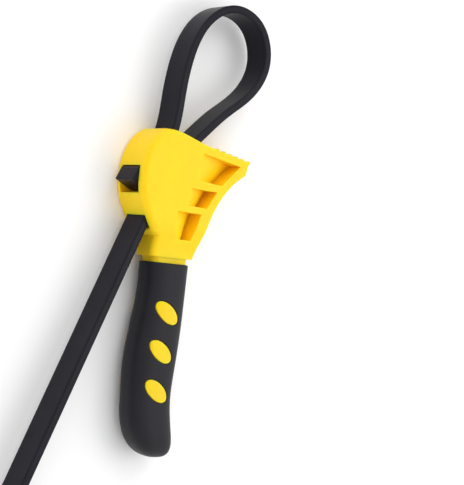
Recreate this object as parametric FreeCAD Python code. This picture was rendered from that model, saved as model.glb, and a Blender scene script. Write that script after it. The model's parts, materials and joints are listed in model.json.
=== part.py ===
"""Strap wrench: a moulded head with a toothed jaw, a two-colour grip and a thick rubber strap.

Millimetres. The wrench lies on its side: +Z is up and is the strap's width direction, +Y runs
along the handle to the head, and +X goes from the head's back to its toothed tip. Shapes are
drawn with the handle's axis at X 0, the collar's lower end at Y 0 and the mid-plane at Z 0, and
place() then moves them so that the origin lies on the head's flat side.
"""
import FreeCAD
import Part
import math
import os

V = FreeCAD.Vector

# Head
HEAD_HALF = 15.5            # half of the head's thickness
DATUM_Y = 60.0              # height above the collar's end of the point that becomes the origin
COLLAR_BACK = -19.0
COLLAR_FRONT = 17.6
COLLAR_TAPER = 24.0         # the collar has widened to the head's full thickness at this height
# Half thickness of the collar at heights from its lower end to the taper's end
COLLAR_SIDES = [(0.0, 10.2), (7.0, 11.2), (15.0, 13.6), (COLLAR_TAPER, HEAD_HALF)]
LIP_DROP = 2.6              # the lip's underside slants down by this much to the collar's back
SLOT_LIP = (-23.2, 16.7)    # lower end of the slanted face that the strap leaves through
SLOT_TOP = (-32.9, 32.4)    # upper end of that face
SLOT_LOW = [(-27.0, 15.8), (-24.0, 18.1), (-20.5, 22.5)]    # the slot's lower edge, inwards
BACK_ARC = [SLOT_TOP, (-37.0, 42.6), (-38.2, 54.0), (-36.1, 68.2), (-30.4, 80.0), (-20.4, 88.3)]
TOP_CURVE = [(-14.0, 88.6), (-2.5, 86.3), (9.5, 83.2), (20.0, 81.0)]
TIP_TOP = (57.6, 75.0)
TIP_LOW = (55.4, 64.8)
FRONT_CURVE = [TIP_LOW, (42.0, 54.2), (30.2, 38.0), (22.6, 18.0), (COLLAR_FRONT, 0.0)]
BACK_ROUND = 4.2
BEYOND = 120.0              # a distance past every face of the head
OVERCUT = 5.0               # how far above the side face a pocket's cut starts
EDGE_ROUND = 1.4
TOOTH_RADIUS = 1.6
TOOTH_PROUD = 1.0
FIRST_TOOTH = (27.1, 79.9)
TOOTH_COUNT = 6
WEB_HALF = 1.5              # half of the web between the pockets of the two sides
POCKET_STEP = 1.8           # depth at which a floor meets the upper wall's far end
# Each pocket: ends of its upper wall, ends of its lower wall (left, then right, both at the side
# face), and where its sloping floor ends along each wall.
POCKETS = [
    ((-2.0, 77.8), (49.5, 70.7), (4.0, 56.6), (33.0, 54.7), 13.5, 7.5),
    ((-12.0, 50.4), (29.6, 49.8), (-12.0, 38.0), (21.4, 37.2), 5.5, 2.5),
    ((-20.0, 33.3), (17.0, 32.6), (-20.0, 13.6), (11.0, 13.2), -5.0, -6.5),
]
FLOOR_BULGE = 0.18          # how far the floor swells above its chord, as a share of its depth

# Handle core, grip and its inlays
TANG = (29.0, 16.0)         # width and thickness of the tongue inside the head
TANG_LENGTH = 12.0
TANG_ROUND = 2.0
NECK = (31.0, 18.0)
NECK_ROUND = 5.5
NECK_LENGTH = 4.0
CORE_SECTIONS = 9           # the core ends at this section of the grip
# Grip sections: height along the handle, centre in X, half width, half thickness, corner radius
GRIP = [
    (-4.0, 0.1, 17.4, 12.0, 8.5),
    (-20.0, 0.2, 17.1, 12.3, 8.6),
    (-36.0, -0.5, 17.7, 12.6, 8.8),
    (-50.0, -1.9, 18.5, 12.8, 8.8),
    (-66.0, -3.0, 18.7, 12.9, 9.0),
    (-82.0, -4.0, 18.4, 13.0, 9.0),
    (-100.0, -3.6, 17.8, 13.0, 9.2),
    (-114.0, -1.5, 17.6, 12.9, 9.2),
    (-124.0, 0.8, 17.3, 12.4, 9.2),
    (-132.0, 3.5, 15.5, 11.2, 8.8),
    (-138.0, 6.8, 11.5, 9.0, 7.6),
]
GRIP_WALL = 3.2
INLAY_CENTRES = [(-2.0, -38.6), (-4.1, -65.7), (-4.4, -93.2)]
INLAY_SEMI = (11.2, 5.8)
INLAY_TILT = 145.0
INLAY_GAP = 0.35

# Strap
STRAP_T = 5.7
STRAP_HALF_W = 10.0
TAIL_TURN = 247.3           # direction in which the tail leaves the slot, degrees from +X
TAIL_EXIT = (-26.2, 26.4)   # a point on the tail's centreline at the slot
TAIL_HIDDEN = 42.0          # length of the tail's straight end above that point, in the head
TAIL_SHOWN = 228.0
TAIL_PLAY = 18.0            # room above the tail's hidden end, for the loop to be let out
CLEAR = 0.5                 # room around the strap in the head
SIDE_CLEAR = 0.4
LOOP_START = (-11.33, 85.32)    # first hinge, just inside the head where the anchored leg enters
LOOP_TURN = 77.0            # the strap's direction there
STRAIGHT_FROM = 258.0       # length along the loop from which it runs straight into the head
ENTRY_AT = 263.3            # length along the loop to the head's top at the moving leg
ENTRY_RISE = 9.0            # how far the cuts for the two openings run out of the head
ENTRY_STRAIGHT = 5.0        # below the top, where the mouth has narrowed to the strap's room
FUNNEL_END = 50.0           # below the top, where the hollow's front wall ends
ENTRY_FLARE = 1.6           # the mouth is this much wider on each side, that far out
LINKS = 10
LINK_LENGTH = 28.56
LINK_GAP = 0.4              # room round each knuckle, between one link and the next
BEND_REST = 0.0203          # curvature of the legs, per mm
BEND_PEAK = 0.0542          # extra curvature at the tightest place
PEAK_AT = 154.2             # length along the loop to the tightest place
SPREAD = (126.5, 70.0)      # how far the tight bend reaches before and after that place
STEPS = 60                  # integration steps per link

# Anchor: the strap's thick end, which the head's back window holds
ANCHOR_FOOT = (-29.9, 44.3)     # centre of the strap's own thickness at the anchor's end face
ANCHOR_SHOULDER = [(-42.8, 49.8), (-38.6, 59.6), (-32.0, 61.4), (-18.4, 77.2)]
WINDOW = (41.6, 60.5)       # lower and upper edge of the opening in the head's back
WINDOW_REACH = 20.0         # how far the cut for that opening runs outwards
ANCHOR_CLEAR = 0.4
MOUTH_REACH = (-1.5, 8.0)   # the mouth runs from below the first hinge to outside the head
MOUTH_FLARE = 1.1           # extra room at the mouth, where the anchored leg swings


def vec(x, y, z=0.0):
    return V(x, y, z)


def polygon(points, low, high):
    """A prism on a closed outline, from Z low to Z high."""
    wire = Part.makePolygon([vec(x, y, low) for x, y in points + points[:1]])
    return Part.Face(wire).extrude(V(0, 0, high - low))


def curve(points, z):
    spline = Part.BSplineCurve()
    spline.interpolate([vec(x, y, z) for x, y in points])
    return spline.toShape()


def line(a, b, z):
    return Part.makeLine(vec(a[0], a[1], z), vec(b[0], b[1], z))


def direction(degrees):
    return math.cos(math.radians(degrees)), math.sin(math.radians(degrees))


def along(point, degrees, distance, side=0.0):
    """The point at a distance along a direction, and at a side distance to its left."""
    ux, uy = direction(degrees)
    return point[0] + ux * distance - uy * side, point[1] + uy * distance + ux * side


def head_outline():
    low = -HEAD_HALF
    notch = (COLLAR_BACK, SLOT_LIP[1] - LIP_DROP)
    edges = [
        line((COLLAR_BACK, 0), notch, low),
        line(notch, SLOT_LIP, low),
        line(SLOT_LIP, SLOT_TOP, low),
        curve(BACK_ARC, low),
        line(BACK_ARC[-1], TOP_CURVE[0], low),
        curve(TOP_CURVE, low),
        line(TOP_CURVE[-1], TIP_TOP, low),
        line(TIP_TOP, TIP_LOW, low),
        curve(FRONT_CURVE, low),
        line(FRONT_CURVE[-1], (COLLAR_BACK, 0), low),
    ]
    return Part.Wire(edges)


def side_profile():
    """Limits the head's thickness: narrow at the collar, full from the taper's end."""
    far = BEYOND
    sides = []
    for sign in (1, -1):
        side = Part.BSplineCurve()
        side.interpolate([V(-far, y, sign * z) for y, z in COLLAR_SIDES], False)
        sides.append(side.toShape())
    corners = [V(-far, COLLAR_TAPER, HEAD_HALF), V(-far, far, HEAD_HALF),
               V(-far, far, -HEAD_HALF), V(-far, COLLAR_TAPER, -HEAD_HALF)]
    around = [Part.makeLine(a, b) for a, b in zip(corners, corners[1:])]
    half = COLLAR_SIDES[0][1]
    foot = Part.makeLine(V(-far, 0, -half), V(-far, 0, half))
    return Part.Face(Part.Wire([sides[0], *around, sides[1], foot])).extrude(V(2 * far, 0, 0))


def rounded(shape, radius, choose):
    """Rounds the edges that choose() accepts."""
    edges = [e for e in shape.Edges if choose(e)]
    return shape.makeFillet(radius, edges)


def on_side(edge):
    """True for an edge along one of the head's two sides, but not across the collar."""
    box = edge.BoundBox
    across = box.YLength < 0.01 and box.YMin < COLLAR_TAPER + 0.01
    return box.ZLength < HEAD_HALF / 2 and not across


def at_back(edge):
    return on_side(edge) and edge.BoundBox.XMax < TOP_CURVE[0][0] + 0.01


def at_front(edge):
    return on_side(edge) and edge.BoundBox.XMin > COLLAR_FRONT - 0.01


def at_top(edge):
    """True for the side edges of the head's top, between its back and its front."""
    box = edge.BoundBox
    flat = box.ZLength < 0.01 and abs(abs(box.ZMin) - HEAD_HALF) < 0.01
    return flat and box.YMin > TOP_CURVE[-1][1] - 0.01 and box.XMax > TOP_CURVE[0][0] + 0.01


def head_blank():
    blank = Part.Face(head_outline()).extrude(V(0, 0, 2 * HEAD_HALF))
    blank = rounded(blank.common(side_profile()), BACK_ROUND, at_back)
    return rounded(blank, EDGE_ROUND, lambda edge: at_front(edge) or at_top(edge))


def teeth():
    """Round ridges across the jaw, from the first tooth to the tip."""
    dx = TIP_TOP[0] - FIRST_TOOTH[0]
    dy = TIP_TOP[1] - FIRST_TOOTH[1]
    sink = TOOTH_PROUD - TOOTH_RADIUS
    ridges = []
    for i in range(TOOTH_COUNT):
        share = i / (TOOTH_COUNT - 1)
        x = FIRST_TOOTH[0] + dx * share
        y = FIRST_TOOTH[1] + dy * share + sink
        foot = V(x, y, EDGE_ROUND - HEAD_HALF)
        ridges.append(Part.makeCylinder(TOOTH_RADIUS, 2 * (HEAD_HALF - EDGE_ROUND), foot))
    return ridges


def pocket_end(wall_right, wall_left, foot_x, step):
    """The outline of a pocket along one of its two walls: deep at the front, with a swelling
    floor that has risen to a step below the side face at foot_x."""
    slope = (wall_right[1] - wall_left[1]) / (wall_right[0] - wall_left[0])
    right = wall_right[0]
    roof = HEAD_HALF + OVERCUT

    def at(x, z):
        return V(x, wall_right[1] + slope * (x - right), z)

    depth = HEAD_HALF - step - WEB_HALF
    middle = at((foot_x + right) / 2, WEB_HALF + depth * (0.5 + FLOOR_BULGE))
    floor_end = at(foot_x, HEAD_HALF - step)
    return Part.Wire([
        Part.Arc(at(right, WEB_HALF), middle, floor_end).toShape(),
        Part.makeLine(floor_end, at(foot_x, roof)),
        Part.makeLine(at(foot_x, roof), at(right, roof)),
        Part.makeLine(at(right, roof), at(right, WEB_HALF)),
    ])


def pocket(upper_left, upper_right, lower_left, lower_right, upper_foot, lower_foot):
    """The room of one cored pocket on the upper side, between its upper and its lower wall."""
    ends = [pocket_end(upper_right, upper_left, upper_foot, POCKET_STEP),
            pocket_end(lower_right, lower_left, lower_foot, 0.0)]
    return Part.makeLoft(ends, True, True)


def mirrored(shape):
    return shape.mirror(V(0, 0, 0), V(0, 0, 1))


def tail_point(distance, side=0.0):
    """A point beside the tail's centreline; distance runs out of the slot."""
    return along(TAIL_EXIT, TAIL_TURN, distance, side)


def trace_loop():
    """The strap's centreline from its first hinge: (x, y, direction) at equal steps.

    Its curvature is that of a bent elastic band, drawn as a bell curve: the two legs bend a
    little outwards, and the round end bends inwards, most of all at PEAK_AT.
    """
    step = LINK_LENGTH / STEPS
    x, y = LOOP_START
    turn = math.radians(LOOP_TURN)
    trace = [(x, y, turn)]
    for i in range(LINKS * STEPS):
        middle = (i + 0.5) * step
        reach = SPREAD[0] if middle < PEAK_AT else SPREAD[1]
        bend = BEND_REST - BEND_PEAK * math.exp(-((middle - PEAK_AT) / reach) ** 2)
        if middle > STRAIGHT_FROM:
            bend = 0.0
        x += step * math.cos(turn + bend * step / 2)
        y += step * math.sin(turn + bend * step / 2)
        turn += bend * step
        trace.append((x, y, turn))
    return trace


TRACE = trace_loop()


def loop_place(length):
    """(point, direction in degrees) of the loop's centreline at a length along it."""
    x, y, turn = TRACE[min(round(length * STEPS / LINK_LENGTH), len(TRACE) - 1)]
    return (x, y), math.degrees(turn)


def strap_bar(stations):
    """A piece of strap through three stations, each (point, direction): bent if they are."""
    sides = []
    for side in (STRAP_T / 2, -STRAP_T / 2):
        sides.append([vec(*along(p, turn, 0.0, side), -STRAP_HALF_W) for p, turn in stations])
    near, far = sides
    if abs(stations[0][1] - stations[2][1]) < 0.05:
        rails = [Part.makeLine(near[0], near[2]), Part.makeLine(far[2], far[0])]
    else:
        rails = [Part.Arc(*near).toShape(), Part.Arc(*reversed(far)).toShape()]
    ends = [Part.makeLine(near[2], far[2]), Part.makeLine(far[0], near[0])]
    wire = Part.Wire([rails[0], ends[0], rails[1], ends[1]])
    return Part.Face(wire).extrude(V(0, 0, 2 * STRAP_HALF_W))


def knuckle(hinge, grow):
    """An upright round bar on a hinge, as thick as the strap and grown by a gap."""
    foot = V(hinge[0], hinge[1], -STRAP_HALF_W - grow)
    return Part.makeCylinder(STRAP_T / 2 + grow, 2 * (STRAP_HALF_W + grow), foot)


def strap_link(index):
    """One link: it starts with a round knuckle on its own hinge, and its far end is hollowed
    to go round the next link's knuckle."""
    start = index * LINK_LENGTH
    end = start + LINK_LENGTH
    stations = [loop_place(at) for at in (start, (start + end) / 2, end)]
    bar = strap_bar(stations).fuse(knuckle(stations[0][0], 0.0))
    if index < LINKS - 1:
        bar = bar.cut(knuckle(stations[2][0], LINK_GAP))
    return bar.removeSplitter()


def strap_tail():
    ends = (-TAIL_HIDDEN, 0.0, TAIL_SHOWN)
    return strap_bar([(tail_point(at), TAIL_TURN) for at in ends])


def anchor_outline():
    """The strap's thick end and the straight leg from it to the first hinge."""
    dx = LOOP_START[0] - ANCHOR_FOOT[0]
    dy = LOOP_START[1] - ANCHOR_FOOT[1]
    turn = math.degrees(math.atan2(dy, dx))
    length = math.hypot(dx, dy)
    half = STRAP_T / 2
    right = [along(ANCHOR_FOOT, turn, length, -half), along(ANCHOR_FOOT, turn, 0.0, -half)]
    return right + ANCHOR_SHOULDER + [along(ANCHOR_FOOT, turn, length, half)]


def strap_anchor():
    anchor = polygon(anchor_outline(), -STRAP_HALF_W, STRAP_HALF_W)
    return anchor.cut(knuckle(LOOP_START, LINK_GAP))


def anchor_passage():
    """Room for the anchor, its window in the head's back, and the mouth that its leg leaves by."""
    half = STRAP_HALF_W + SIDE_CLEAR
    points = anchor_outline()
    wire = Part.makePolygon([vec(x, y, -half) for x, y in points + points[:1]])
    room = Part.Face(wire).makeOffset2D(ANCHOR_CLEAR, 2).extrude(V(0, 0, 2 * half))
    low, high = WINDOW
    inner = points[1][0] + ANCHOR_CLEAR
    outside = inner - WINDOW_REACH
    window = polygon([(inner, low), (outside, low), (outside, high),
                      (ANCHOR_SHOULDER[2][0], high)], -half, half)
    reach = STRAP_T / 2 + ANCHOR_CLEAR
    inside, beyond = MOUTH_REACH
    mouth = polygon([
        along(LOOP_START, LOOP_TURN, inside, -reach),
        along(LOOP_START, LOOP_TURN, inside, reach),
        along(LOOP_START, LOOP_TURN, beyond, reach + 2 * MOUTH_FLARE),
        along(LOOP_START, LOOP_TURN, beyond, -reach - MOUTH_FLARE),
    ], -half, half)
    return [room, window, mouth]


def working_passage():
    """The hollow that the moving part of the strap runs through, from the top to the slot."""
    reach = STRAP_T / 2 + CLEAR
    entry, turn = loop_place(ENTRY_AT)
    wide = reach + ENTRY_FLARE
    corners = [
        along(entry, turn, -ENTRY_RISE, -wide),
        along(entry, turn, ENTRY_STRAIGHT, -reach),
        tail_point(-TAIL_HIDDEN - TAIL_PLAY, reach),
        tail_point(-TAIL_HIDDEN - TAIL_PLAY, -reach),
        tail_point(ENTRY_RISE, -reach),
        *SLOT_LOW,
        along(entry, turn, FUNNEL_END, reach + CLEAR),
        along(entry, turn, ENTRY_STRAIGHT, reach + CLEAR / 2),
        along(entry, turn, -ENTRY_RISE, wide),
    ]
    half = STRAP_HALF_W + SIDE_CLEAR
    return polygon(corners, -half, half)


def rounded_bar(size, radius, top, length):
    """A bar along the handle with a rounded rectangular section, from its top down by length."""
    half_x, half_z = size[0] / 2, size[1] / 2
    return section_loft([(top, 0.0, half_x, half_z, radius),
                         (top - length, 0.0, half_x, half_z, radius)], 0.0)


def section_wire(y, centre_x, half_x, half_z, radius):
    """A rounded rectangle across the handle."""
    inner_x = half_x - radius
    inner_z = half_z - radius
    k = radius * math.sqrt(0.5)
    edges = []
    for sx, sz in ((1, 1), (-1, 1), (-1, -1), (1, -1)):
        cx = centre_x + sx * inner_x
        cz = sz * inner_z
        points = [V(cx + sx * radius, y, cz), V(cx + sx * k, y, cz + sz * k),
                  V(cx, y, cz + sz * radius)]
        if sx != sz:
            points.reverse()
        edges.append(points)
    outline = []
    for i, points in enumerate(edges):
        outline.append(Part.Arc(*points).toShape())
        outline.append(Part.makeLine(points[2], edges[(i + 1) % 4][0]))
    return Part.Wire(outline)


def section_loft(sections, inset):
    wires = [section_wire(y, cx, hx - inset, hz - inset, r - inset)
             for y, cx, hx, hz, r in sections]
    return Part.makeLoft(wires, True)


def ellipse_prism(centre, grow, low, high):
    """An upright elliptical bar at an inlay's place."""
    ellipse = Part.Ellipse(V(0, 0, 0), INLAY_SEMI[0] + grow, INLAY_SEMI[1] + grow).toShape()
    face = Part.Face(Part.Wire([ellipse]))
    face.rotate(V(0, 0, 0), V(0, 0, 1), INLAY_TILT)
    face.translate(V(centre[0], centre[1], low))
    return face.extrude(V(0, 0, high - low))


def head():
    body = head_blank()
    for ridge in teeth():
        body = body.fuse(ridge)
    for walls in POCKETS:
        tool = pocket(*walls)
        body = body.cut(tool).cut(mirrored(tool))
    for hollow in [working_passage()] + anchor_passage():
        body = body.cut(hollow)
    return body.cut(rounded_bar(TANG, TANG_ROUND, TANG_LENGTH, TANG_LENGTH))


def core():
    """The stiff bar inside the handle: tang, neck ring and the core under the grip."""
    tang = rounded_bar(TANG, TANG_ROUND, TANG_LENGTH, TANG_LENGTH)
    neck = rounded_bar(NECK, NECK_ROUND, 0.0, NECK_LENGTH)
    bar = section_loft(GRIP[:CORE_SECTIONS], GRIP_WALL)
    return tang.fuse([neck, bar])


def grip():
    skin = section_loft(GRIP, 0.0).cut(section_loft(GRIP[:CORE_SECTIONS], GRIP_WALL))
    for centre in INLAY_CENTRES:
        skin = skin.cut(ellipse_prism(centre, INLAY_GAP, -HEAD_HALF, HEAD_HALF))
    return skin


def inlays():
    """The yellow ovals of each side, as {name: solid}."""
    outer = section_loft(GRIP, 0.0)
    inner = section_loft(GRIP[:CORE_SECTIONS], GRIP_WALL)
    found = {}
    for i, centre in enumerate(INLAY_CENTRES):
        bar = ellipse_prism(centre, 0.0, 0.0, HEAD_HALF).common(outer).cut(inner)
        found[f"grip_inlay_upper_{i + 1}"] = bar
        found[f"grip_inlay_lower_{i + 1}"] = mirrored(bar)
    return found


def place(shape):
    """Moves a shape so that the origin lies on the head's lower flat side."""
    shape.translate(V(0, -DATUM_Y, HEAD_HALF))
    return shape


def main():
    os.makedirs("parts", exist_ok=True)
    nodes = {"head_body": head(), "handle_core": core(), "grip_sleeve": grip()}
    nodes.update(inlays())
    nodes["strap_anchor"] = strap_anchor()
    for i in range(LINKS):
        nodes[f"strap_link_{i + 1:02d}"] = strap_link(i)
    nodes["strap_tail"] = strap_tail()
    for name, shape in nodes.items():
        place(shape).exportStep(f"parts/{name}.step")
        print(name, "valid" if shape.isValid() else "NOT VALID", len(shape.Solids),
              "solid", round(shape.Volume, 1), "mm3")


main()
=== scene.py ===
"""Strap wrench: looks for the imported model, laid out as an add-on and run as a script.

The frame gives every place: the hinges of the loop carry the strap's centreline, the grip and
the ovals stand on the handle, and the head keeps its own solid with a better finish.
"""

import json
import math

import bmesh
import bpy
import numpy as np
from mathutils import Matrix, Vector


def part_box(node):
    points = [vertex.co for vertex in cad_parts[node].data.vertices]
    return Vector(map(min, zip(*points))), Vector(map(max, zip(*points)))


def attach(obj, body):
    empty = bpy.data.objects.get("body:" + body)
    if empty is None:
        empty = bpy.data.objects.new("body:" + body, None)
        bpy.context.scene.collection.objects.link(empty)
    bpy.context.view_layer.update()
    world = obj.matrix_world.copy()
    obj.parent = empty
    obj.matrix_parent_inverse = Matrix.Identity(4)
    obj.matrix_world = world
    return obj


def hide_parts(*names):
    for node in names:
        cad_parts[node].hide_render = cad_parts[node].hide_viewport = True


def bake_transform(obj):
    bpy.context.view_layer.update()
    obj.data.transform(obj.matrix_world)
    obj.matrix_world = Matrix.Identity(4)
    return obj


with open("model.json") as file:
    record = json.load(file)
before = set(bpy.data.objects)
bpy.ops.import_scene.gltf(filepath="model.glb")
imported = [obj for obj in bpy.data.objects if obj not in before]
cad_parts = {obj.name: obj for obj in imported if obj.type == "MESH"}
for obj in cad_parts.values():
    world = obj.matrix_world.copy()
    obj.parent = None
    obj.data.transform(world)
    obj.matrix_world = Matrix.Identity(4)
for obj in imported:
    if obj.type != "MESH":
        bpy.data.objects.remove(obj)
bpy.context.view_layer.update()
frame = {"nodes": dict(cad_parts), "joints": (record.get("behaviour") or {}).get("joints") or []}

bl_info = {
    "name": "Strap wrench",
    "version": (1, 0, 0),
    "blender": (4, 5, 0),
    "location": "View3D > Sidebar > Strap wrench",
    "description": "Builds the strap, grip, ovals and finishes of a strap wrench",
    "category": "Add Mesh",
}

MM = 0.001
MID_Z = 15.5 * MM                   # height of the wrench's mid-plane above the floor
HANDLE_TOP_Y = -60.0 * MM           # the collar's lower end, where the handle's axis starts
ROOT = "wrench"                     # the body that the head and the handle belong to
TAIL = "tail"


# ---------------------------------------------------------------------------- settings


class StrapSettings(bpy.types.PropertyGroup):
    thickness: bpy.props.FloatProperty(
        name="Thickness", description="Thickness of the strap", default=5.7 * MM, unit="LENGTH")
    width: bpy.props.FloatProperty(
        name="Width", description="Width of the strap", default=20.4 * MM, unit="LENGTH")
    corner: bpy.props.FloatProperty(
        name="Corner", description="Rounding of the strap's long corners",
        default=0.5 * MM, unit="LENGTH")
    line: bpy.props.FloatProperty(
        name="Line", description="Depth of the fine line along each border of the narrow faces",
        default=0.22 * MM, unit="LENGTH")
    step: bpy.props.FloatProperty(
        name="Step", description="Distance between cross-sections", default=1.2 * MM, unit="LENGTH")
    foot: bpy.props.FloatVectorProperty(
        name="Anchor foot", description="Centre of the strap at the end of its anchor",
        default=(-29.9 * MM, -15.7 * MM), size=2, subtype="XYZ")
    swell: bpy.props.FloatProperty(
        name="Anchor swell", description="Extra thickness of the anchor end, on its outer side",
        default=11.2 * MM, unit="LENGTH")
    colour: bpy.props.FloatVectorProperty(
        name="Colour", description="Colour of the strap's rubber", subtype="COLOR",
        default=(0.007, 0.0065, 0.012))


class GripSettings(bpy.types.PropertyGroup):
    half_width: bpy.props.FloatProperty(
        name="Half width", description="Half of the grip's usual width, for its section",
        default=17.8 * MM, unit="LENGTH")
    half_depth: bpy.props.FloatProperty(
        name="Half depth", description="Half of the grip's depth, across the flat sides",
        default=12.9 * MM, unit="LENGTH")
    length: bpy.props.FloatProperty(
        name="Length", description="Length of the grip along the handle",
        default=137.0 * MM, unit="LENGTH")
    squareness: bpy.props.FloatProperty(
        name="Squareness", description="Exponent of the section: 2 is an ellipse, more is squarer",
        default=3.0)
    colour: bpy.props.FloatVectorProperty(
        name="Colour", description="Colour of the grip's soft rubber", subtype="COLOR",
        default=(0.011, 0.011, 0.015))


class OvalSettings(bpy.types.PropertyGroup):
    semi_long: bpy.props.FloatProperty(
        name="Long half axis", description="Half of an oval's length", default=11.2 * MM,
        unit="LENGTH")
    semi_short: bpy.props.FloatProperty(
        name="Short half axis", description="Half of an oval's width", default=5.8 * MM,
        unit="LENGTH")
    tilt: bpy.props.FloatProperty(
        name="Tilt", description="Direction of an oval's long axis from +X",
        default=math.radians(145.0), subtype="ANGLE")
    colour: bpy.props.FloatVectorProperty(
        name="Colour", description="Colour of the ovals", subtype="COLOR",
        default=(0.98, 0.59, 0.004))


class HeadSettings(bpy.types.PropertyGroup):
    colour: bpy.props.FloatVectorProperty(
        name="Colour", description="Colour of the head's plastic", subtype="COLOR",
        default=(0.99, 0.62, 0.006))
    roughness: bpy.props.FloatProperty(
        name="Roughness", description="Roughness of the moulded plastic", default=0.42,
        subtype="FACTOR")


class StageSettings(bpy.types.PropertyGroup):
    floor: bpy.props.FloatVectorProperty(
        name="Floor", description="Colour of the floor", subtype="COLOR",
        default=(0.92, 0.92, 0.92))
    sky: bpy.props.FloatProperty(
        name="Sky", description="Strength of the even light from all round", default=1.0)
    key: bpy.props.FloatProperty(
        name="Key", description="Power of the overhead light in watts", default=5.0)
    fill: bpy.props.FloatProperty(
        name="Fill", description="Power of the front light in watts", default=3.0)
    aim: bpy.props.FloatVectorProperty(
        name="Aim", description="Point that the camera looks at", size=3, subtype="XYZ",
        default=(62.36 * MM, -43.67 * MM, 15.5 * MM))
    distance: bpy.props.FloatProperty(
        name="Distance", description="Distance from the camera to that point",
        default=958.0 * MM, unit="LENGTH")
    swing: bpy.props.FloatProperty(
        name="Swing", description="Turn of the view about the handle's axis",
        default=math.radians(-41.98), subtype="ANGLE")
    tilt: bpy.props.FloatProperty(
        name="Tilt", description="Tilt of the view about its own level axis",
        default=math.radians(1.31), subtype="ANGLE")
    roll: bpy.props.FloatProperty(
        name="Roll", description="Roll of the picture", default=math.radians(6.11),
        subtype="ANGLE")
    lens: bpy.props.FloatProperty(
        name="Lens", description="Focal length in millimetres, on a 36 mm sensor", default=96.5)


SETTINGS = {
    "strap_wrench_strap": StrapSettings,
    "strap_wrench_grip": GripSettings,
    "strap_wrench_oval": OvalSettings,
    "strap_wrench_head": HeadSettings,
    "strap_wrench_stage": StageSettings,
}


# ---------------------------------------------------------------------------- mesh helpers


def new_piece(name, verts, quads, caps=(), uv=None, sharp=None):
    """A mesh object from points and faces; uv gives one pair per point."""
    mesh = bpy.data.meshes.new(name)
    faces = [tuple(q) for q in quads.tolist()] + [tuple(c) for c in caps]
    mesh.from_pydata(verts.tolist(), [], faces)
    mesh.polygons.foreach_set("use_smooth", np.ones(len(faces), bool))
    if uv is not None:
        corners = np.zeros(len(mesh.loops), np.int32)
        mesh.loops.foreach_get("vertex_index", corners)
        layer = mesh.uv_layers.new(name="along")
        layer.data.foreach_set("uv", uv[corners].astype(np.float32).ravel())
    if sharp is not None:
        mark_sharp(mesh, sharp)
    mesh.update()
    mesh.validate()
    piece = bpy.data.objects.new(name, mesh)
    bpy.context.scene.collection.objects.link(piece)
    return piece


def mark_sharp(mesh, angle):
    """Marks the edges whose two faces meet at more than this angle, so that they shade apart."""
    mesh.set_sharp_from_angle(angle=angle)


def tube_quads(rings, around):
    """Quads of a grid of closed rings: each ring joins the next, and its last point its first."""
    ring = np.arange(rings - 1)[:, None] * around
    here = np.arange(around)[None, :]
    there = (here + 1) % around
    return np.stack([ring + here, ring + there, ring + around + there, ring + around + here],
                    axis=-1).reshape(-1, 4)


def smoothstep(t):
    """Rises smoothly from 0 to 1 as t does, level at both ends."""
    t = np.clip(t, 0.0, 1.0)
    return t * t * (3.0 - 2.0 * t)


# ---------------------------------------------------------------------------- strap


ANCHOR_RIM = 0.7 * MM                # rounding of the anchor's end face
ANCHOR_AT = np.array([0.0, 10.5, 15.0, 34.0]) * MM  # lengths from the anchor's end face
ANCHOR_SWELL = np.array([1.0, 0.98, 0.57, 0.0])     # share of the swell at those lengths


def loop_hinges():
    """The places of the loop's hinges, in order from the anchored leg."""
    joints = [j for j in frame["joints"] if j["name"].startswith("loop_bend")]
    return np.array([j["pos_m"] for j in joints])


def natural_spline(knots, lengths, at):
    """Points and unit directions of the natural cubic spline through the knots.

    The second derivatives m solve the usual tridiagonal system, in which the slopes of
    neighbouring spans agree at each knot and m is zero at both ends. Within a span of length h
    the point is the blend of its two knots plus the cubic terms in m.
    """
    h = np.diff(lengths)
    n = len(knots)
    system = np.eye(n)
    right = np.zeros((n, knots.shape[1]))
    inner = np.arange(1, n - 1)
    system[inner, inner - 1] = h[:-1]
    system[inner, inner] = 2.0 * (h[:-1] + h[1:])
    system[inner, inner + 1] = h[1:]
    slopes = np.diff(knots, axis=0) / h[:, None]
    right[inner] = 6.0 * np.diff(slopes, axis=0)
    m = np.linalg.solve(system, right)
    span = np.clip(np.searchsorted(lengths, at) - 1, 0, n - 2)
    b = ((at - lengths[span]) / h[span])[:, None]
    a = 1.0 - b
    w = h[span][:, None]
    points = (a * knots[span] + b * knots[span + 1]
              + ((a ** 3 - a) * m[span] + (b ** 3 - b) * m[span + 1]) * w ** 2 / 6.0)
    slope = (slopes[span]
             + ((3 * b ** 2 - 1) * m[span + 1] - (3 * a ** 2 - 1) * m[span]) * w / 6.0)
    return points, slope / np.linalg.norm(slope, axis=1)[:, None]


def strap_route(strap):
    """Knots of the whole held stretch, from the anchor's foot to the last link's end.

    Returns the knots, the length along the strap at each, and the lengths at the hinges.
    """
    hinges = loop_hinges()
    foot = np.array([strap.foot[0], strap.foot[1], MID_Z])
    leg = hinges[0] - foot
    lead = [foot, foot + leg * 0.4, foot + leg * 0.75]
    end = 2.0 * hinges[-1] - hinges[-2]
    knots = np.vstack([lead, hinges, end])
    steps = np.linalg.norm(np.diff(knots, axis=0), axis=1)
    lengths = np.concatenate([[0.0], np.cumsum(steps)])
    return knots, lengths, lengths[len(lead):len(lead) + len(hinges)]


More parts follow.
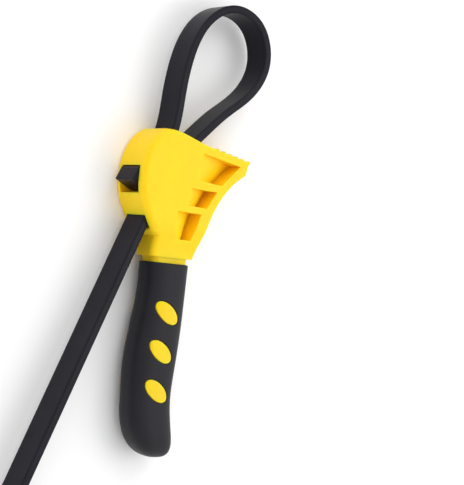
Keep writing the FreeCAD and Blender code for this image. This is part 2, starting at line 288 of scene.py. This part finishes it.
def strap_section(strap):
    """The strap's cross-section as one closed ring of (through, across) pairs.

    A rounded rectangle whose four corners are quarter circles of the corner radius. A fine
    V-shaped line runs beside both borders of each narrow face.
    """
    half_t = strap.thickness / 2
    half_w = strap.width / 2
    r = strap.corner
    turn = np.radians(np.linspace(0.0, 90.0, 6))
    corners = []
    for quarter, (sx, sz) in enumerate(((1, 1), (-1, 1), (-1, -1), (1, -1))):
        angle = turn + quarter * math.pi / 2
        corners.append(np.stack([sx * (half_t - r) + r * np.cos(angle),
                                 sz * (half_w - r) + r * np.sin(angle)], axis=1))
    flank = 2 * (half_t - r)
    border = np.array([0.1, 0.3, 0.5]) * MM
    lined = np.concatenate([border, [flank / 2], flank - border[::-1]]) / flank
    sunk = strap.line * np.array([0.0, 1.0, 0.0, 0.0, 0.0, 1.0, 0.0])
    plain = np.linspace(0.0, 1.0, 10)[1:-1]
    ring = []
    for here, sign in ((0, -1.0), (1, 0.0), (2, 1.0), (3, 0.0)):
        start, end = corners[here][-1], corners[(here + 1) % 4][0]
        share = (plain if sign == 0.0 else lined)[:, None]
        face = start * (1 - share) + end * share
        face[:, 1] += sign * sunk if sign else 0.0
        ring += [corners[here], face]
    return np.vstack(ring)


def sweep_strap(strap, name, points, directions, at, swell=None, shrink=None):
    """The strap's section carried along a path in the wrench's mid-plane.

    Each section stands across the path: its first coordinate runs along the path's left normal
    and its second along Z. swell adds to the left side of the section, and shrink draws the
    section in, for the rounded end of a strap.
    """
    ring = strap_section(strap)
    rings, around = len(points), len(ring)
    normal = np.stack([-directions[:, 1], directions[:, 0], np.zeros(rings)], axis=1)
    out = np.repeat(ring[None, :, 0], rings, axis=0)
    across = np.repeat(ring[None, :, 1], rings, axis=0)
    if swell is not None:
        left = smoothstep((out + strap.thickness / 2) / strap.thickness)
        out = out + left * swell[:, None]
    if shrink is not None:
        middle = (out.max(1) + out.min(1))[:, None] / 2
        half = (out.max(1) - out.min(1))[:, None] / 2
        out = middle + (out - middle) * (1 - shrink[:, None] / half)
        across = across * (1 - shrink[:, None] / (strap.width / 2))
    verts = points[:, None, :] + out[..., None] * normal[:, None, :]
    verts[..., 2] += across
    girth = np.concatenate([[0.0], np.cumsum(np.linalg.norm(np.diff(ring, axis=0), axis=1))])
    uv = np.stack([np.repeat(at[:, None], around, axis=1),
                   np.repeat(girth[None, :], rings, axis=0)], axis=-1).reshape(-1, 2)
    caps = [tuple(range(around))[::-1], tuple(range((rings - 1) * around, rings * around))]
    return new_piece(name, verts.reshape(-1, 3), tube_quads(rings, around), caps, uv,
                     math.radians(40.0))


def stations(start, end, step):
    """Evenly spaced lengths from start to end, about a step apart."""
    count = max(2, int(round((end - start) / step)) + 1)
    return np.linspace(start, end, count)


class STRAPWRENCH_OT_loop(bpy.types.Operator):
    """Builds the strap's anchor and its loop, one piece across each hinge."""
    bl_idname = "strap_wrench.loop"
    bl_label = "Strap loop"

    def execute(self, context):
        strap = context.scene.strap_wrench_strap
        knots, lengths, hinges = strap_route(strap)
        finish = rubber_strap(strap)
        middles = (hinges[:-1] + hinges[1:]) / 2
        starts = np.concatenate([[0.0], middles])
        ends = np.concatenate([middles, lengths[-1:]])
        reach = (hinges[1] - hinges[0]) / 2
        for i, (start, end) in enumerate(zip(starts, ends)):
            at = stations(start, end, strap.step)
            swell = shrink = None
            name = f"strap_bend_{i + 1:02d}"
            if i == 0:
                name = "strap_anchor_end"
                rim = np.array([0.0, 0.12, 0.35, 0.7]) * MM
                at = np.concatenate([rim, stations(1.2 * MM, end, strap.step)])
                swell = strap.swell * np.interp(at, ANCHOR_AT, ANCHOR_SWELL)
                rise = np.clip(1.0 - at / ANCHOR_RIM, 0.0, 1.0)
                shrink = ANCHOR_RIM * (1.0 - np.sqrt(1.0 - rise ** 2))
            points, directions = natural_spline(knots, lengths, at)
            piece = sweep_strap(strap, name, points, directions, at, swell, shrink)
            piece.data.materials.append(finish)
            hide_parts(f"strap_link_{i + 1:02d}", *(["strap_anchor"] if i == 0 else []))
            edge = np.array([hinges[i] - reach, hinges[i] + reach])
            (first, last), _ = natural_spline(knots, lengths, edge)
            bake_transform(piece)
        return {"FINISHED"}


def tail_line():
    """The two ends of the tail's centreline, from its box and the direction of its slide."""
    pull = [j for j in frame["joints"] if j["name"] == "strap_pull"][0]
    way = np.array(pull["axis"]) / np.linalg.norm(pull["axis"])
    low, high = (np.array(corner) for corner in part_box("strap_tail"))
    thick = bpy.context.scene.strap_wrench_strap.thickness
    length = (high[0] - low[0] - thick * abs(way[1])) / abs(way[0])
    middle = (low + high) / 2
    return middle - way * length / 2, middle + way * length / 2


class STRAPWRENCH_OT_tail(bpy.types.Operator):
    """Builds the strap's free tail, from inside the head to its rounded-off end."""
    bl_idname = "strap_wrench.tail"
    bl_label = "Strap tail"

    def execute(self, context):
        strap = context.scene.strap_wrench_strap
        first, last = tail_line()
        length = np.linalg.norm(last - first)
        way = (last - first) / length
        tip = np.array([1.0, 0.6, 0.3, 0.1, 0.0]) * strap.corner
        at = np.concatenate([stations(0.0, length - 2 * strap.corner, 2 * strap.step),
                             length - tip])
        rise = np.clip(1.0 - (length - at) / strap.corner, 0.0, 1.0)
        shrink = strap.corner * (1.0 - np.sqrt(1.0 - rise ** 2))
        points = first + at[:, None] * way
        directions = np.repeat(way[None, :], len(at), axis=0)
        piece = sweep_strap(strap, "strap_free_tail", points, directions, at, None, shrink)
        piece.data.materials.append(rubber_strap(strap))
        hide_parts("strap_tail")
        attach(piece, TAIL)
        return {"FINISHED"}


# ---------------------------------------------------------------------------- grip and ovals


def rounded_run(y, bottom, start, power):
    """How far an edge has drawn in, from 0 at start to 1 at the bottom: a superellipse."""
    t = np.clip((start - y) / (start - bottom), 0.0, 1.0)
    return 1.0 - (1.0 - t ** power) ** (1.0 / power)


GRIP_BUTT_X = 9.0 * MM              # the grip's lowest point, towards the hook of its butt
GRIP_TOP = -4.0 * MM                # the grip's upper rim, below the collar
BUTT_LEFT = (-104.0 * MM, 2.2)      # where the left edge starts to draw in, and its power
BUTT_RIGHT = (-124.0 * MM, 3.0)
BUTT_DEPTH = (-118.0 * MM, 2.6)
THIN_AT_RIM = 0.94                  # share of the full depth at the upper rim
FULL_AFTER = 45.0 * MM              # the grip has its full depth this far below the rim
RIM_ROUND = 0.8 * MM
CLOSE_FROM = -112.0 * MM            # below this height the rings crowd towards the butt
SEAT_DEPTH = 0.9 * MM               # how deep the seat round an oval sinks
SEAT_WIDTH = 0.9 * MM
SEAT_IN = 0.1 * MM                  # the seat's slope starts this far inside an oval's outline
GRIP_LEFT = np.array([(-4, -17.5), (-18, -16.8), (-36, -18.1), (-58, -21.3), (-80, -22.7),
                      (-104, -21.1), (-141, -20.3)]) * MM
GRIP_RIGHT = np.array([(-4, 17.8), (-30, 17.2), (-60, 16.4), (-85, 14.6), (-98, 14.1),
                       (-111, 15.6), (-124, 18.3), (-141, 21.9)]) * MM


def wave(knots, y):
    """A smooth edge through (height, offset) knots that run downwards."""
    points, _ = natural_spline(knots[:, 1:], -knots[:, 0], -np.ravel(y))
    return points[:, 0].reshape(np.shape(y))


def grip_edges(grip, y):
    """The grip's left and right edge and its half depth at heights y along the handle.

    Each edge follows its own gentle wave. Near the butt it runs into the lowest point along a
    superellipse: the left edge early and slowly, the right one late and tightly, which gives
    the butt its hook.
    """
    bottom = GRIP_TOP - grip.length
    left = wave(GRIP_LEFT, y)
    right = wave(GRIP_RIGHT, y)
    left = left + (GRIP_BUTT_X - left) * rounded_run(y, bottom, *BUTT_LEFT)
    right = right + (GRIP_BUTT_X - right) * rounded_run(y, bottom, *BUTT_RIGHT)
    full = THIN_AT_RIM + (1.0 - THIN_AT_RIM) * smoothstep((GRIP_TOP - y) / FULL_AFTER)
    depth = grip.half_depth * full * (1.0 - rounded_run(y, bottom, *BUTT_DEPTH))
    return left, right, depth


def grip_height(grip, x, y):
    """Half thickness of the grip at plan points: the height of its superellipse section."""
    left, right, depth = grip_edges(grip, y)
    half = np.maximum((right - left) / 2, 1e-6)
    share = np.clip(np.abs(x - (left + right) / 2) / half, 0.0, 1.0)
    return depth * (1.0 - share ** grip.squareness) ** (1.0 / grip.squareness)


OVAL_RIM = 0.55 * MM                # rounding of an oval's rim
OVAL_SKIRT = 2.6 * MM               # depth of an oval's underside below its top
OVAL_PROUD = 0.35 * MM              # how far an oval stands above the grip


def oval_centres():
    """Plan centres of the ovals, from the boxes of the CAD inlays."""
    centres = []
    for number in (1, 2, 3):
        low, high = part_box(f"grip_inlay_upper_{number}")
        centres.append(((low.x + high.x) / 2, (low.y + high.y) / 2))
    return centres


def oval_distance(oval, centre, x, y):
    """Signed distance, in metres and nearly true, from plan points to an oval's outline.

    The points are turned into the oval's axes; with q the length of the scaled point, the
    distance is (q - 1) times the length of the point over the gradient's share.
    """
    c, s = math.cos(oval.tilt), math.sin(oval.tilt)
    u = (x - centre[0]) * c + (y - centre[1]) * s
    v = -(x - centre[0]) * s + (y - centre[1]) * c
    q = np.sqrt((u / oval.semi_long) ** 2 + (v / oval.semi_short) ** 2)
    slope = np.sqrt((u / oval.semi_long ** 2) ** 2 + (v / oval.semi_short ** 2) ** 2)
    return (q - 1.0) * q / np.maximum(slope, 1e-9)


def even_lengths(curve, count):
    """Indices, as fractions, that divide a closed or open curve into stretches of equal length."""
    steps = np.linalg.norm(np.diff(curve, axis=0), axis=1)
    lengths = np.concatenate([[0.0], np.cumsum(steps)])
    return np.interp(np.linspace(0.0, lengths[-1], count), lengths, np.arange(len(curve)))


class STRAPWRENCH_OT_grip(bpy.types.Operator):
    """Builds the soft grip, with a shallow seat sunk round each oval."""
    bl_idname = "strap_wrench.grip"
    bl_label = "Grip"

    def execute(self, context):
        grip = context.scene.strap_wrench_grip
        oval = context.scene.strap_wrench_oval
        top = GRIP_TOP
        bottom = GRIP_TOP - grip.length
        straight = np.linspace(top, CLOSE_FROM, 190)
        share = np.sin(np.linspace(0.0, math.pi / 2, 72))[1:]
        close = straight[-1] + (bottom - straight[-1]) * share
        y = np.concatenate([straight, close])
        left, right, depth = grip_edges(grip, y)
        around = 256
        angle = np.linspace(0.0, 2 * math.pi, 4001)
        power = 2.0 / grip.squareness
        unit = np.stack([np.sign(np.cos(angle)) * np.abs(np.cos(angle)) ** power,
                         np.sign(np.sin(angle)) * np.abs(np.sin(angle)) ** power], axis=1)
        shape = unit * np.array([grip.half_width, grip.half_depth])
        picks = even_lengths(shape, around + 1)[:-1]
        ux = np.interp(picks, np.arange(len(unit)), unit[:, 0])
        uz = np.interp(picks, np.arange(len(unit)), unit[:, 1])
        middle = (left + right)[:, None] / 2
        half = (right - left)[:, None] / 2
        x = middle + half * ux[None, :]
        z = depth[:, None] * uz[None, :]
        yy = np.repeat(y[:, None], around, axis=1)
        rise = np.clip(1.0 - (top - yy) / RIM_ROUND, 0.0, 1.0)
        lip = RIM_ROUND * (1.0 - np.sqrt(1.0 - rise ** 2))
        x = middle + (x - middle) * (1.0 - lip / grip.half_width)
        z = z * (1.0 - lip / grip.half_depth)
        for centre in oval_centres():
            gap = oval_distance(oval, (centre[0], centre[1] - HANDLE_TOP_Y), x, yy)
            seat = SEAT_DEPTH * (1.0 - smoothstep((gap + SEAT_IN) / SEAT_WIDTH))
            z = z - np.sign(z) * np.where(np.abs(uz)[None, :] > 0.5, seat, 0.0)
        verts = np.stack([x, yy + HANDLE_TOP_Y, z + MID_Z], axis=-1)
        verts[-1] = verts[-1].mean(0)
        quads = tube_quads(len(y), around)[:, ::-1]
        piece = new_piece("soft_grip", verts.reshape(-1, 3), quads,
                          [tuple(range(around))], None, math.radians(60.0))
        weld(piece, 1e-6)
        piece.data.materials.append(rubber_grip(grip))
        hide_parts("grip_sleeve")
        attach(piece, ROOT)
        return {"FINISHED"}


def weld(piece, distance):
    """Joins points that lie together, as at a pole, and drops the faces that this empties."""
    bm = bmesh.new()
    bm.from_mesh(piece.data)
    bmesh.ops.remove_doubles(bm, verts=bm.verts, dist=distance)
    bmesh.ops.recalc_face_normals(bm, faces=bm.faces)
    bm.to_mesh(piece.data)
    bm.free()


class STRAPWRENCH_OT_ovals(bpy.types.Operator):
    """Builds the six yellow ovals, slightly crowned with a rounded rim."""
    bl_idname = "strap_wrench.ovals"
    bl_label = "Ovals"

    def execute(self, context):
        grip = context.scene.strap_wrench_grip
        oval = context.scene.strap_wrench_oval
        finish = yellow_plastic("oval plastic", oval.colour, 0.36)
        for number, centre in enumerate(oval_centres(), 1):
            for side, sign in (("upper", 1.0), ("lower", -1.0)):
                piece = self.build(grip, oval, centre, side, sign, number)
                piece.data.materials.append(finish)
                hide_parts(f"grip_inlay_{side}_{number}")
                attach(piece, ROOT)
        return {"FINISHED"}

    @staticmethod
    def build(grip, oval, centre, side, sign, number):
        """A polar grid over the oval: rings shrink to the middle, and height follows the grip.

        The rim rounds over along a quarter circle, and the skirt goes straight down into the
        grip's seat, where a flat underside closes the piece.
        """
        around = 96
        rim = OVAL_RIM
        angle = np.linspace(0.0, 2 * math.pi, around, endpoint=False)
        bend = np.radians(np.linspace(0.0, 90.0, 8))
        inset = np.concatenate([[0.0, 0.0], rim * (1.0 - np.cos(bend))[1:]])
        drop = np.concatenate([[-OVAL_SKIRT, -rim], -rim * (1.0 - np.sin(bend))[1:]])
        flat = oval.semi_short * np.linspace(0.0, 1.0, 14)[1:] ** 0.8
        inset = np.concatenate([inset, rim + (oval.semi_short - rim) * flat / flat[-1]])
        drop = np.concatenate([drop, np.zeros(len(flat))])
        inset = np.minimum(inset, oval.semi_short)
        share = 1.0 - inset / oval.semi_short
        u = (oval.semi_long * share)[:, None] * np.cos(angle)[None, :]
        v = (oval.semi_short * share)[:, None] * np.sin(angle)[None, :]
        c, s = math.cos(oval.tilt), math.sin(oval.tilt)
        x = centre[0] + u * c - v * s
        y = centre[1] + u * s + v * c
        top = grip_height(grip, x, y - HANDLE_TOP_Y) + OVAL_PROUD
        z = MID_Z + sign * (top + drop[:, None])
        verts = np.stack([x, y, z], axis=-1)
        quads = tube_quads(len(share), around)
        caps = [tuple(range(around))]
        if sign < 0:
            quads = quads[:, ::-1]
        piece = new_piece(f"grip_oval_{side}_{number}", verts.reshape(-1, 3), quads, caps, None,
                          math.radians(60.0))
        weld(piece, 1e-7)
        return piece


# ---------------------------------------------------------------------------- finishes


def group_sockets(tree, inputs, outputs):
    """Gives a node group its named inputs (with defaults) and outputs."""
    for name, kind, default in inputs:
        made = tree.interface.new_socket(name=name, in_out="INPUT", socket_type=kind)
        made.default_value = default
    for name, kind in outputs:
        tree.interface.new_socket(name=name, in_out="OUTPUT", socket_type=kind)


def noise(tree, detail, roughness):
    """A solid noise texture with the given detail and roughness."""
    made = tree.nodes.new("ShaderNodeTexNoise")
    made.noise_dimensions = "3D"
    made.inputs["Detail"].default_value = detail
    made.inputs["Roughness"].default_value = roughness
    return made


def grain_group():
    """Fine moulded grain: a bump height, and slow clouds that vary colour and roughness."""
    found = bpy.data.node_groups.get("moulded grain")
    if found:
        return found
    tree = bpy.data.node_groups.new("moulded grain", "ShaderNodeTree")
    group_sockets(tree, [("Vector", "NodeSocketVector", (0, 0, 0)),
                         ("Grain per metre", "NodeSocketFloat", 3000.0),
                         ("Clouds per metre", "NodeSocketFloat", 40.0)],
                  [("Height", "NodeSocketFloat"), ("Clouds", "NodeSocketFloat")])
    source = tree.nodes.new("NodeGroupInput")
    sink = tree.nodes.new("NodeGroupOutput")
    fine = noise(tree, 3.0, 0.6)
    slow = noise(tree, 3.0, 0.55)
    link = tree.links.new
    link(source.outputs["Vector"], fine.inputs["Vector"])
    link(source.outputs["Vector"], slow.inputs["Vector"])
    link(source.outputs["Grain per metre"], fine.inputs["Scale"])
    link(source.outputs["Clouds per metre"], slow.inputs["Scale"])
    link(fine.outputs[0], sink.inputs["Height"])
    link(slow.outputs[0], sink.inputs["Clouds"])
    return tree


def start_material(name):
    """A new material with one Principled shader: (material, its node tree, shader)."""
    material = bpy.data.materials.new(name)
    material.use_nodes = True
    tree = material.node_tree
    tree.nodes.clear()
    shader = tree.nodes.new("ShaderNodeBsdfPrincipled")
    out = tree.nodes.new("ShaderNodeOutputMaterial")
    tree.links.new(shader.outputs[0], out.inputs["Surface"])
    return material, tree, shader


def mix_colour(tree, mask, low, high):
    """A colour between low and high by a mask, linked and ready for a shader."""
    ramp = tree.nodes.new("ShaderNodeValToRGB")
    ramp.color_ramp.elements[0].color = (*low, 1.0)
    ramp.color_ramp.elements[1].color = (*high, 1.0)
    ramp.color_ramp.elements[0].position = 0.3
    ramp.color_ramp.elements[1].position = 0.7
    tree.links.new(mask, ramp.inputs[0])
    return ramp.outputs[0]


def vary(tree, mask, low, high):
    """A number between low and high by a mask."""
    span = tree.nodes.new("ShaderNodeMapRange")
    span.inputs["From Min"].default_value = 0.3
    span.inputs["From Max"].default_value = 0.7
    span.inputs["To Min"].default_value = low
    span.inputs["To Max"].default_value = high
    tree.links.new(mask, span.inputs["Value"])
    return span.outputs[0]


def place_grain(tree, vector, grain, clouds):
    """The grain group on a vector, with its two scales per metre."""
    group = tree.nodes.new("ShaderNodeGroup")
    group.node_tree = grain_group()
    group.inputs["Grain per metre"].default_value = grain
    group.inputs["Clouds per metre"].default_value = clouds
    tree.links.new(vector, group.inputs["Vector"])
    return group


def bump(tree, height, shader, strength, distance):
    """Bumps a shader's normal by a height."""
    made = tree.nodes.new("ShaderNodeBump")
    made.inputs["Strength"].default_value = strength
    made.inputs["Distance"].default_value = distance
    tree.links.new(height, made.inputs["Height"])
    tree.links.new(made.outputs[0], shader.inputs["Normal"])


def tint(colour, factor):
    """A colour scaled by a factor, held at full strength."""
    return tuple(min(1.0, c * factor) for c in colour)


def yellow_plastic(name, colour, roughness):
    """Satin moulded plastic: fine spark grain, faint clouds in colour and gloss."""
    material, tree, shader = start_material(name)
    place = tree.nodes.new("ShaderNodeTexCoord")
    grain = place_grain(tree, place.outputs["Object"], 2600.0, 55.0)
    clouds = grain.outputs["Clouds"]
    colour = tuple(colour)
    tree.links.new(mix_colour(tree, clouds, tint(colour, 0.97), tint(colour, 1.03)),
                   shader.inputs["Base Color"])
    tree.links.new(vary(tree, clouds, roughness - 0.03, roughness + 0.05),
                   shader.inputs["Roughness"])
    bump(tree, grain.outputs["Height"], shader, 0.12, 0.05 * MM)
    shader.inputs["IOR"].default_value = 1.49
    shader.inputs["Specular IOR Level"].default_value = 0.22
    shader.inputs["Subsurface Weight"].default_value = 0.7
    shader.inputs["Subsurface Radius"].default_value = (1.0, 0.35, 0.05)
    shader.inputs["Subsurface Scale"].default_value = 7.0 * MM
    return material


def rubber_grip(grip):
    """Soft-touch rubber: matt, with a fine even grain and a faint bloom."""
    material, tree, shader = start_material("grip rubber")
    place = tree.nodes.new("ShaderNodeTexCoord")
    grain = place_grain(tree, place.outputs["Object"], 2200.0, 45.0)
    clouds = grain.outputs["Clouds"]
    colour = tuple(grip.colour)
    tree.links.new(mix_colour(tree, clouds, tint(colour, 0.85), tint(colour, 1.2)),
                   shader.inputs["Base Color"])
    tree.links.new(vary(tree, clouds, 0.5, 0.6), shader.inputs["Roughness"])
    bump(tree, grain.outputs["Height"], shader, 0.3, 0.08 * MM)
    shader.inputs["IOR"].default_value = 1.5
    shader.inputs["Specular IOR Level"].default_value = 0.18
    shader.inputs["Sheen Weight"].default_value = 0.08
    shader.inputs["Sheen Roughness"].default_value = 0.5
    return material


def rubber_strap(strap):
    """Moulded strap rubber: satin, with faint streaks along its length."""
    found = bpy.data.materials.get("strap rubber")
    if found:
        return found
    material, tree, shader = start_material("strap rubber")
    along = tree.nodes.new("ShaderNodeUVMap")
    along.uv_map = "along"
    stretch = tree.nodes.new("ShaderNodeMapping")
    stretch.inputs["Scale"].default_value = (0.04, 1.0, 1.0)
    tree.links.new(along.outputs[0], stretch.inputs["Vector"])
    streaks = place_grain(tree, stretch.outputs[0], 2400.0, 900.0)
    place = tree.nodes.new("ShaderNodeTexCoord")
    grain = place_grain(tree, place.outputs["Object"], 3200.0, 60.0)
    colour = tuple(strap.colour)
    clouds = grain.outputs["Clouds"]
    tree.links.new(mix_colour(tree, clouds, tint(colour, 0.85), tint(colour, 1.2)),
                   shader.inputs["Base Color"])
    tree.links.new(vary(tree, streaks.outputs["Clouds"], 0.34, 0.44), shader.inputs["Roughness"])
    bump(tree, streaks.outputs["Height"], shader, 0.08, 0.04 * MM)
    shader.inputs["IOR"].default_value = 1.52
    shader.inputs["Specular IOR Level"].default_value = 0.14
    return material


class STRAPWRENCH_OT_head(bpy.types.Operator):
    """Finishes the head and the handle's core in satin yellow plastic."""
    bl_idname = "strap_wrench.head"
    bl_label = "Head"

    def execute(self, context):
        head = context.scene.strap_wrench_head
        finish = yellow_plastic("head plastic", head.colour, head.roughness)
        for name in ("head_body", "handle_core"):
            mesh = frame["nodes"][name].data
            mesh.materials.clear()
            mesh.materials.append(finish)
        return {"FINISHED"}


# ---------------------------------------------------------------------------- stage


def floor_finish(colour):
    """Matt pale paint with very faint clouds."""
    material, tree, shader = start_material("floor paint")
    place = tree.nodes.new("ShaderNodeTexCoord")
    grain = place_grain(tree, place.outputs["Object"], 300.0, 4.0)
    colour = tuple(colour)
    tree.links.new(mix_colour(tree, grain.outputs["Clouds"], tint(colour, 0.995), colour),
                   shader.inputs["Base Color"])
    shader.inputs["Roughness"].default_value = 0.9
    shader.inputs["Specular IOR Level"].default_value = 0.1
    return material


def soft_light(name, place, aim, size, power, colour=(1.0, 1.0, 1.0)):
    """A square area light at a place, turned towards a point."""
    data = bpy.data.lights.new(name, "AREA")
    data.shape = "RECTANGLE"
    data.size, data.size_y = size
    data.energy = power
    data.color = colour
    lamp = bpy.data.objects.new(name, data)
    lamp.location = place
    lamp.rotation_euler = (Vector(aim) - Vector(place)).to_track_quat("-Z", "Y").to_euler()
    bpy.context.scene.collection.objects.link(lamp)
    return lamp


class STRAPWRENCH_OT_stage(bpy.types.Operator):
    """Lays the floor, sets the soft lights and places the camera."""
    bl_idname = "strap_wrench.stage"
    bl_label = "Stage"

    def execute(self, context):
        stage = context.scene.strap_wrench_stage
        self.floor(stage)
        self.lights(stage)
        self.camera(context, stage)
        return {"FINISHED"}

    @staticmethod
    def floor(stage):
        half = 6.0
        verts = np.array([[-half, -half, 0], [half, -half, 0], [half, half, 0], [-half, half, 0]],
                         float)
        floor = new_piece("floor", verts, np.array([[0, 1, 2, 3]]))
        floor.data.materials.append(floor_finish(stage.floor))

    @staticmethod
    def lights(stage):
        world = bpy.data.worlds.new("studio")
        world.use_nodes = True
        world.node_tree.nodes["Background"].inputs[0].default_value = (1.0, 1.0, 1.0, 1.0)
        world.node_tree.nodes["Background"].inputs[1].default_value = stage.sky
        bpy.context.scene.world = world
        soft_light("overhead", (0.1, 1.1, 1.0), (0.0, 0.0, 0.0), (1.2, 1.2), stage.key)
        soft_light("front", (0.9, -0.1, 0.95), (0.0, 0.0, 0.0), (0.8, 0.8), stage.fill)

    @staticmethod
    def camera(context, stage):
        turn = (Matrix.Rotation(stage.swing, 4, "Y") @ Matrix.Rotation(stage.tilt, 4, "X")
                @ Matrix.Rotation(stage.roll, 4, "Z"))
        back = turn.to_3x3() @ Vector((0.0, 0.0, 1.0))
        data = bpy.data.cameras.new("camera")
        data.lens = stage.lens
        data.sensor_width = 36.0
        camera = bpy.data.objects.new("camera", data)
        camera.matrix_world = Matrix.Translation(Vector(stage.aim) + back * stage.distance) @ turn
        context.scene.collection.objects.link(camera)
        context.scene.camera = camera
        context.scene.view_settings.view_transform = "Standard"


# ---------------------------------------------------------------------------- panel and run


OPERATORS = (
    STRAPWRENCH_OT_head,
    STRAPWRENCH_OT_loop,
    STRAPWRENCH_OT_tail,
    STRAPWRENCH_OT_grip,
    STRAPWRENCH_OT_ovals,
    STRAPWRENCH_OT_stage,
)


class STRAPWRENCH_PT_panel(bpy.types.Panel):
    """Lists the wrench's pieces and their sizes in the sidebar."""
    bl_idname = "STRAPWRENCH_PT_panel"
    bl_label = "Strap wrench"
    bl_space_type = "VIEW_3D"
    bl_region_type = "UI"
    bl_category = "Strap wrench"

    def draw(self, context):
        for operator in OPERATORS:
            self.layout.operator(operator.bl_idname)
        for name, group in SETTINGS.items():
            box = self.layout.box()
            for field in group.__annotations__:
                box.prop(getattr(context.scene, name), field)


CLASSES = (*SETTINGS.values(), *OPERATORS, STRAPWRENCH_PT_panel)


def register():
    for cls in CLASSES:
        bpy.utils.register_class(cls)
    for name, group in SETTINGS.items():
        setattr(bpy.types.Scene, name, bpy.props.PointerProperty(type=group))


def unregister():
    for name in SETTINGS:
        delattr(bpy.types.Scene, name)
    for cls in reversed(CLASSES):
        bpy.utils.unregister_class(cls)


def main():
    register()
    bpy.ops.strap_wrench.head()
    bpy.ops.strap_wrench.loop()
    bpy.ops.strap_wrench.tail()
    bpy.ops.strap_wrench.grip()
    bpy.ops.strap_wrench.ovals()
    bpy.ops.strap_wrench.stage()


if __name__ == "__main__":
    main()
